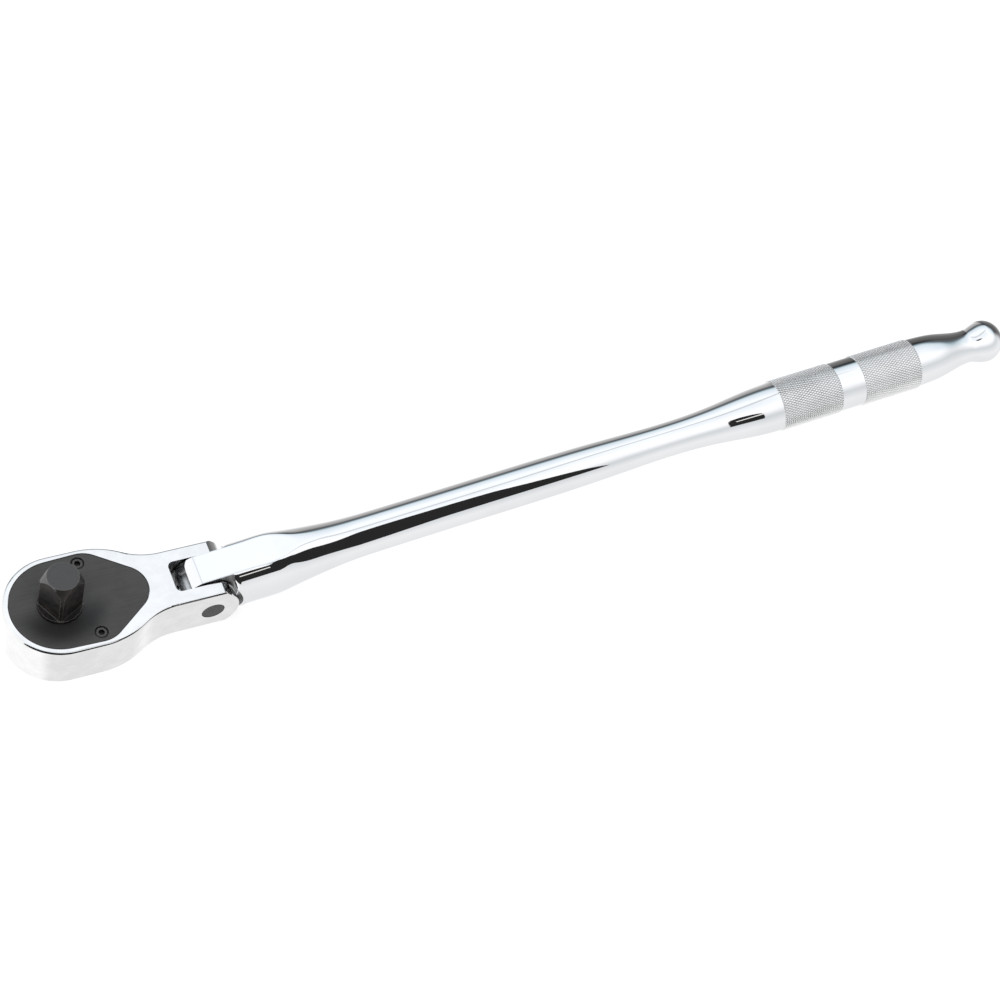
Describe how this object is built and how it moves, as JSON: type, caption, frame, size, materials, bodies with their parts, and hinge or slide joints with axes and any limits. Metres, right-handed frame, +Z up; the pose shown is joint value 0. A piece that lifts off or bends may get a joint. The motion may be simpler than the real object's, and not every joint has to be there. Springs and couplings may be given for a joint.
{
  "type": "ratchet wrench",
  "caption": "Long chrome flex-head ratchet wrench with a pear-shaped head, square drive, reversing lever and knurled round handle.",
  "frame": {"origin": "on the drive axis, at the outer face of the cover plate", "axes": "+X along the handle to its knob end, +Z up on the drive side with the handle level, +Y to the left of +X; the head is tipped up 8 degrees about the hinge pin"},
  "size_m": [0.4522, 0.0438, 0.0552],
  "materials": {
    "chrome": "mirror-polished chrome plate over forged steel",
    "chrome_head": "mirror-polished chrome plate, satin inside the pocket",
    "black_oxide": "black oxide on ground steel, semi-gloss",
    "black_oxide_drive": "black oxide on machined steel",
    "black_screw": "black oxide alloy steel",
    "dark_pin": "ground hardened steel with a dark finish",
    "bright_steel": "polished bearing steel",
    "spring_steel": "oiled spring wire",
    "hardened_steel": "hardened and greased tool steel",
    "bronze": "oiled bronze",
    "seal_rubber": "matt nitrile rubber",
    "lever_black": "black oxide, semi-gloss"
  },
  "bodies": {
    "handle": {"handle": "chrome"},
    "head": {"head_body": "chrome_head", "cover_plate": "black_oxide", "cover_screws": "black_screw", "hinge_pin": "dark_pin", "drive_seal": "seal_rubber", "thrust_washer": "bronze", "pawl_pin": "hardened_steel", "selector_seal": "seal_rubber", "friction_plunger": "bright_steel", "friction_spring": "spring_steel"},
    "drive": {"drive_gear": "black_oxide_drive", "drive_detent_spring": "spring_steel"},
    "detent_ball": {"drive_detent_ball": "bright_steel"},
    "pawl": {"pawl": "hardened_steel"},
    "selector": {"selector_shaft": "hardened_steel", "selector_lever": "lever_black", "lever_screw": "black_screw", "selector_spring": "spring_steel"},
    "selector_tip": {"selector_plunger": "bright_steel"}
  },
  "joints": [
    {"name": "head_flex", "type": "hinge", "parent": "handle", "child": "head", "pos_m": [0.05696, 0, -0.01992], "axis": [0, 1, 0], "range_deg": [-88, 72]},
    {"name": "drive_spin", "type": "hinge", "parent": "head", "child": "drive", "pos_m": [0, 0, 0], "axis": [0.1409, 0, 0.99], "continuous": true},
    {"name": "selector_turn", "type": "hinge", "parent": "head", "child": "selector", "pos_m": [0.02736, 0, -0.01571], "axis": [0.1409, 0, 0.99], "range_deg": [0, 50]},
    {"name": "pawl_rock", "type": "hinge", "parent": "head", "child": "pawl", "pos_m": [0.01814, 0, -0.01167], "axis": [0.1409, 0, 0.99], "range_deg": [-7, 0]},
    {"name": "detent_press", "type": "slide", "parent": "drive", "child": "detent_ball", "axis": [-0.4754, 0.8771, 0.0677], "range_m": [-0.0008, 0], "stiffness_N_per_m": 1500, "springref_m": 0.0006, "deforming": ["drive_detent_spring"]},
    {"name": "selector_tip_press", "type": "slide", "parent": "selector", "child": "selector_tip", "axis": [-0.8973, 0.4226, 0.1277], "range_m": [-0.0005, 0], "stiffness_N_per_m": 1000, "springref_m": 0.0005, "deforming": ["selector_spring"]}
  ],
  "couplings": [
    {"joint": "pawl_rock", "follows": "selector_turn", "ratio": -0.14}
  ]
}
